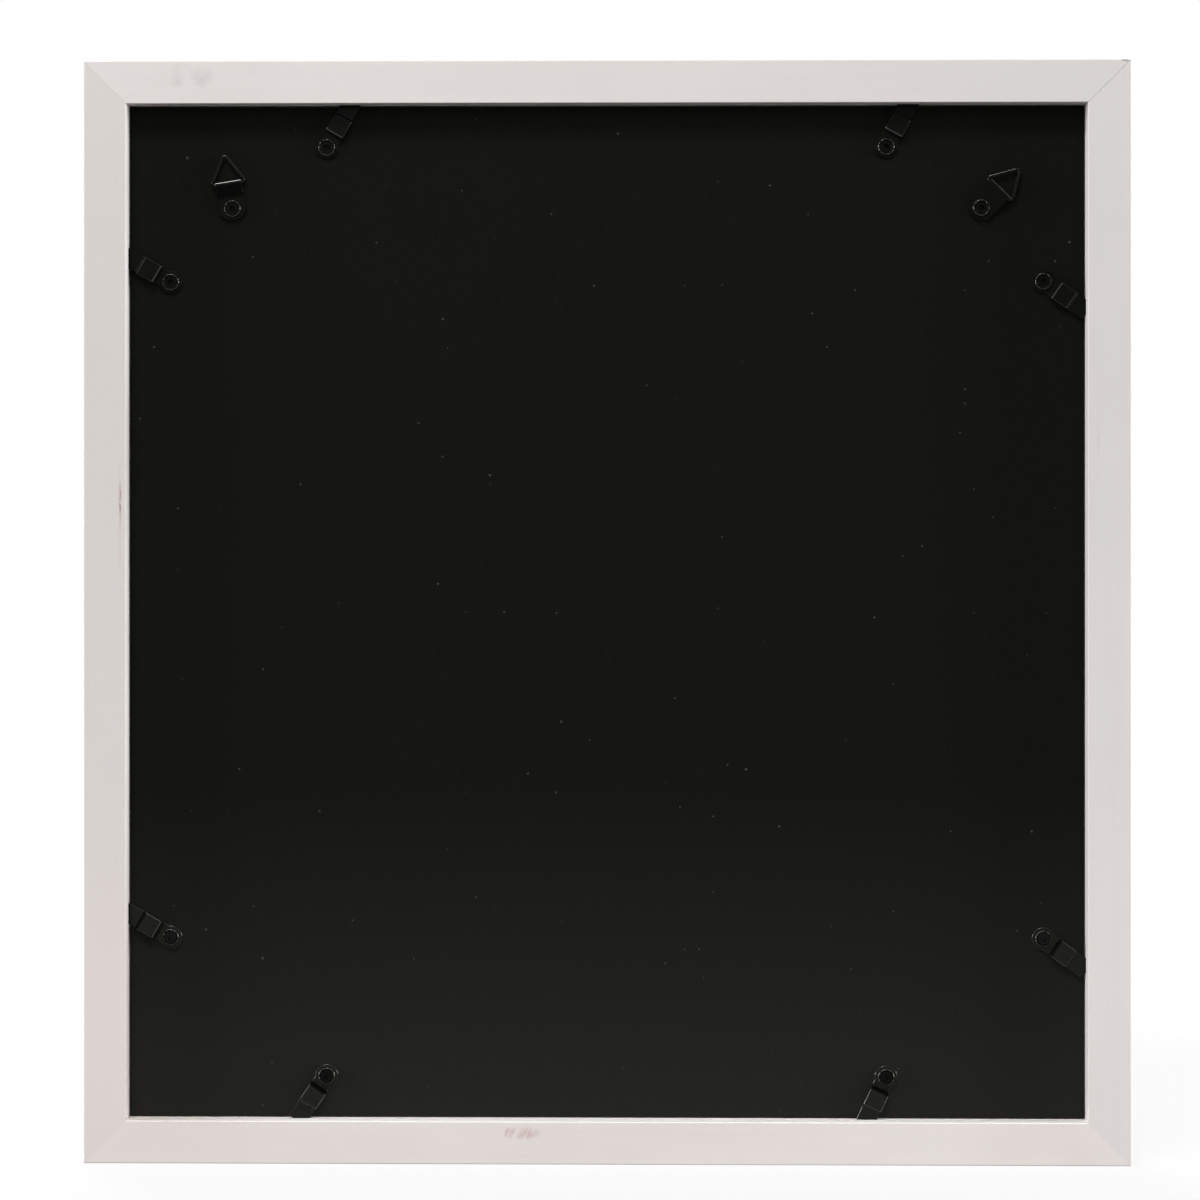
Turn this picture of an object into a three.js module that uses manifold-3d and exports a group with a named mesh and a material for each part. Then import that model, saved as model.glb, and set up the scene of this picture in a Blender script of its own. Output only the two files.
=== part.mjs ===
// Multi-aperture photo frame, modelled as it lies face down on the bench and is seen from behind:
// x to the right, y up the frame and z towards the viewer, from 0 at the front of the rails.
// Left and right are those of this view. The last group stands the frame up with +Z up, its front
// facing -Y and its origin in the middle of the bottom edge.

import * as THREE from "three";
import { mergeVertices } from "three/addons/utils/BufferGeometryUtils.js";
import Module from "manifold-3d";

const wasm = await Module();
wasm.setup();

const { degToRad } = THREE.MathUtils;

// Driving dimensions, in millimetres and degrees

// Mitred wooden rails
const frameWidth = 422;
const frameHeight = 445;
const railBackWidth = 17.2; // outer edge to the wall of the rebate
const lipWidth = 4.8; // what the front lip covers of the glass
const lipThickness = 6;
const recessDepth = 10; // back of the backboard to the back of the rails
const frontEdgeRound = 1.4;
const backEdgeRound = 0.4;
const mitreGap = 0.2; // glue line between two rails

// Layers lying in the rebate
const rebateGap = 0.5; // round the edges of every layer
const layerGap = 0.1; // between one layer and the next
const glazingThickness = 2;
const mountThickness = 1.5;
const insertThickness = 0.3;
const backboardThickness = 3;

// Windows of the mount, each for a 10 x 15 cm print
const windowWidth = 140;
const windowHeight = 90;
const windowColumns = 2;
const windowRows = 3;

// Spring turn clips, and the groove in the rails that their tongues turn into
const clipWidth = 7.8;
const clipThickness = 0.8;
const clipEyeFlare = 0.8; // the round end is this much wider on each side
const clipTipRound = 1;
const clipHumpLength = 7;
const clipHumpRise = 2.2; // underside of the hump above the backboard
const clipTongueRise = 1; // underside of the tongue above the backboard
const clipSlope = 68;
const clipBend = 0.6;
const clipFromWall = 17; // rivet to the wall of the rebate
const clipHumpFromWall = 2.9; // gap that the hump leaves as it swings past the wall
const clipFromSide = 97.7; // rivet of a top or bottom clip to the nearer side of the frame
const clipFromTop = 88.8; // rivet of an upper side clip to the top of the frame
const clipFromBottom = 90.3; // rivet of a lower side clip to the bottom of the frame
const grooveDepth = 5.5;
const grooveFloorGap = 0.4; // corners of the tongue to the floor of the groove
const grooveFit = 0.7; // in front of the tongue and behind it

// Clinched rivets of the clips and hangers
const rivetHeadRadius = 3.6;
const rivetHeadHeight = 1.1;
const rivetRimWidth = 1.3; // of the rolled rim, round a dish
const rivetDishFloor = 0.4; // above the seat of the head
const rivetShankRadius = 1.9;
const rivetBoreRadius = 1.2;
const rivetBoreDepth = 2.6;
const rivetFootRadius = 3.6;
const rivetFootThickness = 0.7;
const rivetFootSink = 0.15; // below the front face of the backboard
const rivetFit = 0.12;
const seatGap = 0.1;

// Strap hangers, each folded round the base of a triangular wire ring
const hangerFromSide = 59.4; // rivet to the side of the frame
const hangerFromTop = 59; // rivet to the top of the frame
const strapWidth = 11;
const strapTail = 4.6; // rivet to the round end
const strapThickness = 0.7;
const strapReach = 10.2; // rivet to the axis of the ring's base
const strapSlope = 16;
const strapBend = 1;
const wireRadius = 0.7;
const wireFit = 0.2;
const ringBase = 14.3; // between the corners of the wire's axis, before they are bent round
const ringRise = 12.4; // base to apex of the wire's axis, before the apex is bent round
const ringBend = 1.9;
const ringButtGap = 0.6; // between the two ends of the wire, inside the fold

// V-shaped joining nails, driven into each mitre from behind
const vNailsPerMitre = 2;
const vNailLeg = 4;
const vNailSpread = 50; // each leg to the mitre
const vNailThickness = 0.6;
const vNailHeight = 9;
const vNailSink = 1; // below the back face, filled and painted over
const vNailFit = 0.3;

// Steps in which curves are drawn, and how far a cutter runs past what it cuts
const edgeSteps = 2;
const bendSteps = 3;
const arcSteps = 8;
const headSteps = 6;
const rivetSides = 16;
const ringSteps = 64;
const wireSides = 8;
const cutOverrun = 1;

// Front of each layer, counted from the front of the rails
const glazingFront = lipThickness + layerGap;
const mountFront = glazingFront + glazingThickness + layerGap;
const insertFront = mountFront + mountThickness + layerGap;
const backboardFront = insertFront + insertThickness + layerGap;
const backboardBack = backboardFront + backboardThickness;
const railDepth = backboardBack + recessDepth;

const railFaceWidth = railBackWidth + lipWidth;
const layerWidth = frameWidth - 2 * (railBackWidth + rebateGap);
const layerHeight = frameHeight - 2 * (railBackWidth + rebateGap);

// The four sides, clockwise from the top, each with the corner at its left end, and the lean
// of its clips, clockwise from square to the rail, with their distance from the rail's ends
const sides = [
  { name: "top", turn: 0, length: frameWidth, fromCentre: frameHeight / 2, corner: "top_left",
    clips: [["top_left", 30, clipFromSide], ["top_right", 28, clipFromSide]] },
  { name: "right", turn: -90, length: frameHeight, fromCentre: frameWidth / 2, corner: "top_right",
    clips: [["right_upper", 35, clipFromTop], ["right_lower", 36, clipFromBottom]] },
  { name: "bottom", turn: 180, length: frameWidth, fromCentre: frameHeight / 2, corner: "bottom_right",
    clips: [["bottom_right", 25, clipFromSide], ["bottom_left", 34, clipFromSide]] },
  { name: "left", turn: 90, length: frameHeight, fromCentre: frameWidth / 2, corner: "bottom_left",
    clips: [["left_lower", 30, clipFromBottom], ["left_upper", 30, clipFromTop]] },
];

// The two hangers, each with its strap's lean, clockwise from upright
const hangers = [
  { name: "left", x: hangerFromSide - frameWidth / 2, lean: -9 },
  { name: "right", x: frameWidth / 2 - hangerFromSide, lean: 45 },
];

const whitePaint = new THREE.MeshStandardMaterial({ color: 0xdcd6d3, roughness: 0.5 });
const clearGlass = new THREE.MeshStandardMaterial({ color: 0xe6efec, roughness: 0.05 });
const mountCard = new THREE.MeshStandardMaterial({ color: 0xf1efe9, roughness: 0.9 });
const insertPaper = new THREE.MeshStandardMaterial({ color: 0xcfcdc8, roughness: 0.85 });
const blackBoard = new THREE.MeshStandardMaterial({ color: 0x171716, roughness: 0.8 });
const blackLacquer = new THREE.MeshStandardMaterial({ color: 0x1d1d1c, roughness: 0.35, metalness: 0.4 });
const plainSteel = new THREE.MeshStandardMaterial({ color: 0x9a9c9e, roughness: 0.4, metalness: 1 });

// Booleans on closed geometries

function toSolid(geometry) {
  const bare = geometry.clone();
  bare.deleteAttribute("normal");
  bare.deleteAttribute("uv");
  const merged = mergeVertices(bare);
  const triVerts = Uint32Array.from(merged.index.array);
  const vertProperties = merged.attributes.position.array;
  return new wasm.Manifold(new wasm.Mesh({ numProp: 3, vertProperties, triVerts }));
}

function toGeometry(solid) {
  const { vertProperties, triVerts } = solid.getMesh();
  const geometry = new THREE.BufferGeometry();
  geometry.setAttribute("position", new THREE.BufferAttribute(vertProperties, 3));
  geometry.setIndex(new THREE.BufferAttribute(triVerts, 1));
  geometry.computeVertexNormals();
  return geometry;
}

function cut(geometry, tools) {
  return toGeometry(tools.reduce((solid, tool) => solid.subtract(toSolid(tool)), toSolid(geometry)));
}

function overlap(first, second) {
  return toGeometry(toSolid(first).intersect(toSolid(second)));
}

// Outlines and the forms made from them

function extrude(shape, depth, curveSegments = arcSteps) {
  return new THREE.ExtrudeGeometry(shape, { depth, curveSegments, bevelEnabled: false });
}

function revolve(outline) {
  return new THREE.LatheGeometry(outline, rivetSides).rotateX(Math.PI / 2);
}

function point(x, y) {
  return new THREE.Vector3(x, y, 0);
}

function rectangle(width, height) {
  const [right, top] = [width / 2, height / 2];
  return new THREE.Shape([point(-right, -top), point(right, -top), point(right, top), point(-right, top)]);
}

// A line through the corners, each inner one bent to an arc over a length that its straights allow
function bentLine(corners, bend) {
  const line = new THREE.CurvePath();
  let from = corners[0];
  for (let i = 1; i < corners.length - 1; i += 1) {
    const [before, corner, after] = corners.slice(i - 1, i + 2);
    const [back, ahead] = [before.clone().sub(corner), after.clone().sub(corner)];
    const turn = Math.PI - back.angleTo(ahead);
    const pull = (4 * Math.tan(turn / 4)) / (3 * Math.tan(turn / 2));
    const length = Math.min(bend, back.length() / 2, ahead.length() / 2);
    const [start, end] = [back, ahead].map((straight) => straight.setLength(length).add(corner));
    const handles = [start, end].map((tangent) => tangent.clone().lerp(corner, pull));
    line.add(new THREE.LineCurve3(from, start));
    line.add(new THREE.CubicBezierCurve3(start, ...handles, end));
    from = end;
  }
  line.add(new THREE.LineCurve3(from, corners.at(-1)));
  return line;
}

// The edge of a sheet of metal, whose middle follows a line
function sheetEdge(line, thickness) {
  const normals = line.slice(1).map(
    (end, i) => new THREE.Vector2(line[i].y - end.y, end.x - line[i].x).normalize(),
  );
  const face = (side) => line.map((middle, i) => {
    const before = normals[Math.max(i - 1, 0)];
    const after = normals[Math.min(i, normals.length - 1)];
    const offset = (side * thickness) / 2 / (1 + before.dot(after));
    return point(middle.x + (before.x + after.x) * offset, middle.y + (before.y + after.y) * offset);
  });
  return new THREE.Shape([...face(1), ...face(-1).reverse()]);
}

// A strip bent to a side view, which runs along y and rises in z, and trimmed to its outline from above
function formedStrip({ sideView, thickness, outline, width, height }) {
  const strip = extrude(sheetEdge(sideView, thickness), width + 2 * cutOverrun);
  const [x, y, z] = [0, 1, 2].map((axis) => new THREE.Vector3().setComponent(axis, 1));
  strip.translate(0, 0, -width / 2 - cutOverrun).applyMatrix4(new THREE.Matrix4().makeBasis(y, z, x));
  return overlap(strip, extrude(outline, height));
}

// Rails: a rebated profile, mitred at both ends, with its outer edge on y = 0

function railProfile() {
  const tongueMiddle = backboardBack + clipTongueRise + clipThickness / 2;
  const grooveHalf = clipThickness / 2 + grooveFit;
  const grooveFloor = railBackWidth - grooveDepth;
  const quarter = Math.PI / 2;
  const [front, back] = [frontEdgeRound, railDepth - backEdgeRound];
  return new THREE.Shape()
    .moveTo(frontEdgeRound, 0)
    .absarc(railFaceWidth - frontEdgeRound, front, frontEdgeRound, -quarter, 0)
    .lineTo(railFaceWidth, lipThickness)
    .lineTo(railBackWidth, lipThickness)
    .lineTo(railBackWidth, tongueMiddle - grooveHalf)
    .lineTo(grooveFloor, tongueMiddle - grooveHalf)
    .lineTo(grooveFloor, tongueMiddle + grooveHalf)
    .lineTo(railBackWidth, tongueMiddle + grooveHalf)
    .absarc(railBackWidth - backEdgeRound, back, backEdgeRound, 0, quarter)
    .absarc(backEdgeRound, back, backEdgeRound, quarter, 2 * quarter)
    .absarc(frontEdgeRound, front, frontEdgeRound, 2 * quarter, 3 * quarter);
}

function railGeometry(length) {
  const rail = extrude(railProfile(), length, edgeSteps);
  const corners = rail.attributes.position;
  for (let i = 0; i < corners.count; i += 1) {
    const inward = corners.getX(i);
    const end = length / 2 - inward - mitreGap * Math.SQRT1_2;
    corners.setXYZ(i, corners.getZ(i) > 0 ? -end : end, -inward, corners.getY(i));
  }
  const slots = vNailPlaces().flatMap((place) => {
    const slot = vNailGeometry(vNailFit).translate(place.x, place.y, place.z);
    const farSlot = slot.clone().rotateZ(-Math.PI / 2).translate(length / 2, 0, 0);
    return [slot.translate(-length / 2, 0, 0), farSlot];
  });
  return cut(rail, slots);
}

// V-nails stand across the mitre of a corner, whose outer point is the origin
// and whose mitre runs to +x, -y

function vNailGeometry(fit) {
  const leg = vNailLeg + fit;
  const spread = degToRad(vNailSpread);
  const [across, along] = [leg * Math.sin(spread), leg * Math.cos(spread)];
  const bend = [point(-across, -along), point(0, 0), point(across, -along)];
  const edge = sheetEdge(bend, vNailThickness + 2 * fit);
  return extrude(edge, vNailHeight + 2 * fit).translate(0, 0, -fit).rotateZ(Math.PI / 4);
}

function vNailPlaces() {
  const pitch = (railBackWidth - grooveDepth) / (vNailsPerMitre + 1);
  const floor = railDepth - vNailSink - vNailHeight;
  return Array.from({ length: vNailsPerMitre }, (_, i) => {
    const inward = pitch * (i + 1);
    return new THREE.Vector3(inward, -inward, floor);
  });
}

// Mount card with windows in rows and columns, evenly spaced in the sight of the frame,
// each cut with a 45 degree bevel that opens towards the glass

function mountGeometry() {
  const gap = (count, size, sight) => (sight - count * size) / (count + 1);
  const pitchX = windowWidth + gap(windowColumns, windowWidth, frameWidth - 2 * railFaceWidth);
  const pitchY = windowHeight + gap(windowRows, windowHeight, frameHeight - 2 * railFaceWidth);
  const windows = [];
  for (let column = 0; column < windowColumns; column += 1) {
    for (let row = 0; row < windowRows; row += 1) {
      const x = (column - (windowColumns - 1) / 2) * pitchX;
      const y = (row - (windowRows - 1) / 2) * pitchY;
      windows.push(bevelledWindow().translate(x, y, 0));
    }
  }
  return cut(extrude(rectangle(layerWidth, layerHeight), mountThickness), windows);
}

function bevelledWindow() {
  const cutter = extrude(rectangle(windowWidth, windowHeight), mountThickness + 2 * cutOverrun);
  const corners = cutter.translate(0, 0, -cutOverrun).attributes.position;
  for (let i = 0; i < corners.count; i += 1) {
    const spread = mountThickness - corners.getZ(i);
    corners.setX(i, corners.getX(i) + Math.sign(corners.getX(i)) * spread);
    corners.setY(i, corners.getY(i) + Math.sign(corners.getY(i)) * spread);
  }
  return cutter;
}

// Rivets stand on the back of the backboard, z = 0, with their foot let into its front

function rivetGeometry(grip) {
  const foot = rivetFootSink - backboardThickness;
  const shoulder = foot + rivetFootThickness;
  const headFoot = grip + seatGap;
  const boreFloor = headFoot + rivetHeadHeight - rivetBoreDepth;
  const rollRadius = rivetRimWidth / 2;
  const rollEnd = Math.PI - Math.asin(rivetDishFloor / rivetHeadHeight);
  const roll = new THREE.EllipseCurve(
    rivetHeadRadius - rollRadius, headFoot, rollRadius, rivetHeadHeight, 0, rollEnd,
  );
  return revolve([
    point(0, foot),
    point(rivetFootRadius, foot),
    point(rivetFootRadius, shoulder),
    point(rivetShankRadius, shoulder),
    point(rivetShankRadius, headFoot),
    ...roll.getPoints(headSteps),
    point(rivetBoreRadius, headFoot + rivetDishFloor),
    point(rivetBoreRadius, boreFloor),
    point(0, boreFloor),
  ]);
}

function rivetHole() {
  const footRadius = rivetFootRadius + rivetFit;
  const shankRadius = rivetShankRadius + rivetFit;
  const start = -backboardThickness - cutOverrun;
  const shoulder = rivetFootSink - backboardThickness + rivetFootThickness + seatGap;
  return revolve([
    point(0, start),
    point(footRadius, start),
    point(footRadius, shoulder),
    point(shankRadius, shoulder),
    point(shankRadius, cutOverrun),
    point(0, cutOverrun),
  ]);
}

function shankHole() {
  return new THREE.Path().absarc(0, 0, rivetShankRadius + rivetFit, 0, 2 * Math.PI);
}

// A turn clip points along +y from its rivet: a flat eye, a step up to a hump
// and a step down to the tongue, whose corners reach nearly to the floor of the groove

function clipGeometry() {
  const halfWidth = clipWidth / 2;
  const tongueEnd = Math.sqrt((clipFromWall + grooveDepth - grooveFloorGap) ** 2 - halfWidth ** 2);
  const humpEnd = Math.sqrt((clipFromWall - clipHumpFromWall) ** 2 - halfWidth ** 2);
  const humpStart = humpEnd - clipHumpLength;
  const eyeRadius = halfWidth + clipEyeFlare;

  const slope = Math.tan(degToRad(clipSlope));
  const middle = clipThickness / 2;
  const [low, high, tongue] = [seatGap + middle, clipHumpRise + middle, clipTongueRise + middle];
  const sideView = bentLine([
    point(-eyeRadius - cutOverrun, low),
    point(humpStart - (high - low) / slope, low),
    point(humpStart, high),
    point(humpEnd, high),
    point(humpEnd + (high - tongue) / slope, tongue),
    point(tongueEnd + cutOverrun, tongue),
  ], clipBend).getPoints(bendSteps);

  const neck = Math.acos(halfWidth / eyeRadius);
  const outline = new THREE.Shape()
    .absarc(0, 0, eyeRadius, Math.PI - neck, 2 * Math.PI + neck)
    .lineTo(halfWidth, tongueEnd - clipTipRound)
    .quadraticCurveTo(halfWidth, tongueEnd, halfWidth - clipTipRound, tongueEnd)
    .lineTo(clipTipRound - halfWidth, tongueEnd)
    .quadraticCurveTo(-halfWidth, tongueEnd, -halfWidth, tongueEnd - clipTipRound);
  outline.holes.push(shankHole());

  const height = clipHumpRise + 2 * clipThickness;
  return formedStrip({ sideView, thickness: clipThickness, outline, width: clipWidth, height });
}

// A hanger points along +y from its rivet: two layers of strap, nearly as wide as the straight
// of the ring's base, which they are folded round

const foldRadius = wireRadius + wireFit + strapThickness / 2; // to the middle of the strap
const strapMiddle = seatGap + strapThickness / 2;
const wireHeight = strapMiddle + foldRadius;

function strapGeometry() {
  const upperMiddle = strapMiddle + strapThickness + seatGap;
  const slope = degToRad(strapSlope);
  const foldCurve = new THREE.EllipseCurve(
    strapReach, wireHeight, foldRadius, foldRadius, -Math.PI / 2, Math.PI / 2 + slope,
  );
  const fold = foldCurve.getPoints(2 * arcSteps).map(({ x, y }) => point(x, y));
  const top = fold.at(-1);
  const slopeFoot = top.x - (top.y - upperMiddle) / Math.tan(slope);
  const tail = -strapTail - cutOverrun;
  const upperCorners = [top, point(slopeFoot, upperMiddle), point(tail, upperMiddle)];
  const upperLayer = bentLine(upperCorners, strapBend).getPoints(bendSteps);
  const sideView = [point(tail, strapMiddle), ...fold, ...upperLayer.slice(1)];

  const halfFold = ringBase / 2 - ringBend;
  const foldStart = strapReach - foldRadius;
  const foldEnd = strapReach + foldRadius + strapThickness;
  const outline = new THREE.Shape()
    .absellipse(0, 0, strapWidth / 2, strapTail, Math.PI, 2 * Math.PI)
    .lineTo(strapWidth / 2, slopeFoot)
    .lineTo(halfFold, foldStart)
    .lineTo(halfFold, foldEnd)
    .lineTo(-halfFold, foldEnd)
    .lineTo(-halfFold, foldStart)
    .lineTo(-strapWidth / 2, slopeFoot);
  outline.holes.push(shankHole());

  const height = wireHeight + foldRadius + strapThickness;
  return formedStrip({ sideView, thickness: strapThickness, outline, width: strapWidth, height });
}

// A ring is one length of wire, whose ends meet in the middle of its base on the x axis

function ringGeometry() {
  const extrudePath = bentLine([
    point(-ringButtGap / 2, 0),
    point(-ringBase / 2, 0),
    point(0, ringRise),
    point(ringBase / 2, 0),
    point(ringButtGap / 2, 0),
  ], ringBend);
  const section = new THREE.Shape().absarc(0, 0, wireRadius, 0, 2 * Math.PI);
  const curveSegments = wireSides / 2;
  return new THREE.ExtrudeGeometry(section, { steps: ringSteps, curveSegments, extrudePath });
}

// Assembly

const bench = new THREE.Group();
const rivetPlaces = [];

function addPiece(parent, name, geometry, material) {
  const mesh = new THREE.Mesh(geometry, material);
  mesh.name = name;
  parent.add(mesh);
  return mesh;
}

function addGroup(parent, place, turn) {
  const group = new THREE.Group();
  group.position.copy(place);
  group.rotation.z = degToRad(turn);
  parent.add(group);
  group.updateWorldMatrix(true, false);
  return group;
}

const middle = new THREE.Vector3(0, frameHeight / 2, 0);
for (const { name, turn, length, fromCentre, corner, clips } of sides) {
  const side = addGroup(bench, middle, turn);
  const rail = addPiece(side, `frame_rail_${name}`, railGeometry(length), whitePaint);
  rail.position.y = fromCentre;

  vNailPlaces().forEach((place, i) => {
    const nail = addPiece(side, `v_nail_${corner}_${i + 1}`, vNailGeometry(0), plainSteel);
    nail.position.set(place.x - length / 2, fromCentre + place.y, place.z);
  });

  clips.forEach(([clipName, lean, fromRailEnd], i) => {
    const rivetHeight = fromCentre - railBackWidth - clipFromWall;
    const across = (2 * i - 1) * (length / 2 - fromRailEnd);
    const place = new THREE.Vector3(across, rivetHeight, backboardBack);
    const clip = addGroup(side, place, -lean);
    addPiece(clip, `turn_clip_${clipName}`, clipGeometry(), blackLacquer);
    addPiece(clip, `clip_rivet_${clipName}`, rivetGeometry(seatGap + clipThickness), blackLacquer);
    rivetPlaces.push(new THREE.Vector3().setFromMatrixPosition(clip.matrixWorld));
  });
}

for (const { name, x, lean } of hangers) {
  const place = new THREE.Vector3(x, frameHeight - hangerFromTop, backboardBack);
  const hanger = addGroup(bench, place, -lean);
  const strapGrip = 2 * (seatGap + strapThickness);
  addPiece(hanger, `hanger_strap_${name}`, strapGeometry(), blackLacquer);
  addPiece(hanger, `hanger_rivet_${name}`, rivetGeometry(strapGrip), blackLacquer);
  const ring = addPiece(hanger, `hanger_ring_${name}`, ringGeometry(), blackLacquer);
  ring.position.set(0, strapReach, wireHeight);
  rivetPlaces.push(place);
}

const sheet = (thickness) => extrude(rectangle(layerWidth, layerHeight), thickness);
const rivetHoles = rivetPlaces.map(
  (place) => rivetHole().translate(place.x, place.y - middle.y, backboardThickness),
);
const layers = [
  ["glazing", sheet(glazingThickness), clearGlass, glazingFront],
  ["mount_board", mountGeometry(), mountCard, mountFront],
  ["insert_sheet", sheet(insertThickness), insertPaper, insertFront],
  ["backboard", cut(sheet(backboardThickness), rivetHoles), blackBoard, backboardFront],
];
for (const [name, geometry, material, front] of layers) {
  addPiece(bench, name, geometry, material).position.set(0, middle.y, front);
}

const photoFrame = new THREE.Group();
bench.rotation.set(Math.PI / 2, 0, Math.PI, "ZXY");
bench.position.y = -railDepth / 2;
photoFrame.add(bench);

export default photoFrame;
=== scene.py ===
import bmesh
import bpy
import math
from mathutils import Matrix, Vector


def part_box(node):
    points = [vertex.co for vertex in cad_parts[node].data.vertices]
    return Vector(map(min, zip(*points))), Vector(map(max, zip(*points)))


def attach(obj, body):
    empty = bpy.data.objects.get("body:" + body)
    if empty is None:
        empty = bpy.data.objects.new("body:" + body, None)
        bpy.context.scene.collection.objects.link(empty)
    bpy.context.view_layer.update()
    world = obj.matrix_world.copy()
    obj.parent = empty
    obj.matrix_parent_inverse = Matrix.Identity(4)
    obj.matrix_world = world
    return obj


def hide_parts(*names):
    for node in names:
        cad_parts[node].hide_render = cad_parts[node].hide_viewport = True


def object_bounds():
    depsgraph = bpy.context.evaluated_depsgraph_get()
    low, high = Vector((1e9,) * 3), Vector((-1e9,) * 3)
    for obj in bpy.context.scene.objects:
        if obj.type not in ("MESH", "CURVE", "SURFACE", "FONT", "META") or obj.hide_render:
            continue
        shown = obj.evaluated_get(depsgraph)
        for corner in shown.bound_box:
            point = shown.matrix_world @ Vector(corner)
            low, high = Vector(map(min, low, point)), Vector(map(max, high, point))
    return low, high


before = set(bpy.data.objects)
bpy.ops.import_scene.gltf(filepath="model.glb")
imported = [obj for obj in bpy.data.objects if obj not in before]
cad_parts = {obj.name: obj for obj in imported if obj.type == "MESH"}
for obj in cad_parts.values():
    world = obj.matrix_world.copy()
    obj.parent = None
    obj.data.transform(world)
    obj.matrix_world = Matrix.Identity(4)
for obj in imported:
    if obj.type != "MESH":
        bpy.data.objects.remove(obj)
cad_low, cad_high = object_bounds()

# Rails
# Four lengths of softwood moulding with a front lip, a rebate for the glass and a saw groove for
# the clips. They are mitred, glued and nailed at the corners, then sprayed with off-white paint.
MM = 0.001
FRAME_WIDTH = cad_high.x - cad_low.x
FRAME_HEIGHT = cad_high.z - cad_low.z
FRONT, BACK = cad_low.y, cad_high.y
MIDDLE = Vector((0, 0, FRAME_HEIGHT / 2))
WALL = 17.2 * MM  # outer edge to the wall of the rebate
LIP = 4.8 * MM  # what the lip covers of the glass
LIP_BACK = FRONT + 6 * MM
BOARD_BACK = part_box("backboard")[1].y
GROOVE_FRONT, GROOVE_BACK = BOARD_BACK + 0.3 * MM, BOARD_BACK + 2.5 * MM
GROOVE_DEPTH = 5.5 * MM
FRONT_ROUND, BACK_ROUND, SMALL_ROUND = 1.4 * MM, 0.4 * MM, 0.2 * MM
# Half the open joint at each corner, as the paint has closed it
JOINT_TIGHT, JOINT_FINE, JOINT_OPEN = 0.01 * MM, 0.03 * MM, 0.06 * MM
SAME_PLACE = 0.01 * MM  # points nearer than this are one
LOOKS_ALONG, RUNS_ALONG = 0.9, 0.999  # cosines from which a face looks, or an edge runs, along an axis
# The four lengths differ a little in hue, and in level as painted light and shade, with the left one
# darkest
TOP_WHITE, RIGHT_WHITE = (0.694, 0.658, 0.642, 1), (0.716, 0.681, 0.667, 1)
BOTTOM_WHITE, LEFT_WHITE = (0.748, 0.682, 0.664, 1), (0.612, 0.573, 0.556, 1)
# Darker side of the paint's random clouding, also laid on the left rail as a patch of painted shade
THIN_PAINT_AND_SHADE = (0.615, 0.575, 0.556, 1)
# Tints for soft patches of painted shade and light on the rails, standing in for how light falls across
# them
COOL_PAINTED_SHADE, WARM_PAINTED_LIGHT_AND_SHADE = (0.635, 0.609, 0.603, 1), (0.660, 0.592, 0.573, 1)
# Painted light: a lighter patch on the bottom rail, and a brighter tone on the bottom and left inner walls
PALE_PAINTED_LIGHT, PAINTED_WALL_LIGHT = (0.775, 0.727, 0.707, 1), (0.90, 0.875, 0.86, 1)
SMUDGE_GREY = (0.30, 0.29, 0.28, 1)
SCUFF_PINK = (0.46, 0.28, 0.27, 1)
CHIP_DARK = (0.05, 0.045, 0.04, 1)
# The paint's patterns in cells to the metre, and how much each shows
PAINT_CLOUD, PAINT_STREAK, PAINT_PEEL = 26, 420, 900
CLOUD_SHARE, STREAK_SHARE, PEEL_SHARE = 0.55, 0.45, 0.5
PAINT_ROUGHNESS, STREAK_ROUGHNESS, CLOUD_ROUGHNESS = 0.40, 0.16, 0.1
PAINT_RELIEF = 0.03 * MM
CRUMB_LOW, CRUMB_HIGH = 0.36, 0.66  # where a crumb of a mark starts, and where it covers
MARK_FULL = 0.6  # share of the way in from its edge, from which a mark covers


class Value:
    """An output of a node. Sums, differences, products and steps on it add Math nodes."""

    def __init__(self, tree, socket):
        self.tree = tree
        self.socket = socket

    def math(self, operation, first, second):
        return self.tree.node("ShaderNodeMath", {0: first, 1: second}, operation=operation)

    def __add__(self, other):
        return self.math("ADD", self, other)

    def __rsub__(self, other):
        return self.math("SUBTRACT", other, self)

    def __mul__(self, other):
        return self.math("MULTIPLY", self, other)

    def __gt__(self, other):
        return self.math("GREATER_THAN", self, other)

    __radd__ = __add__
    __rmul__ = __mul__


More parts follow.
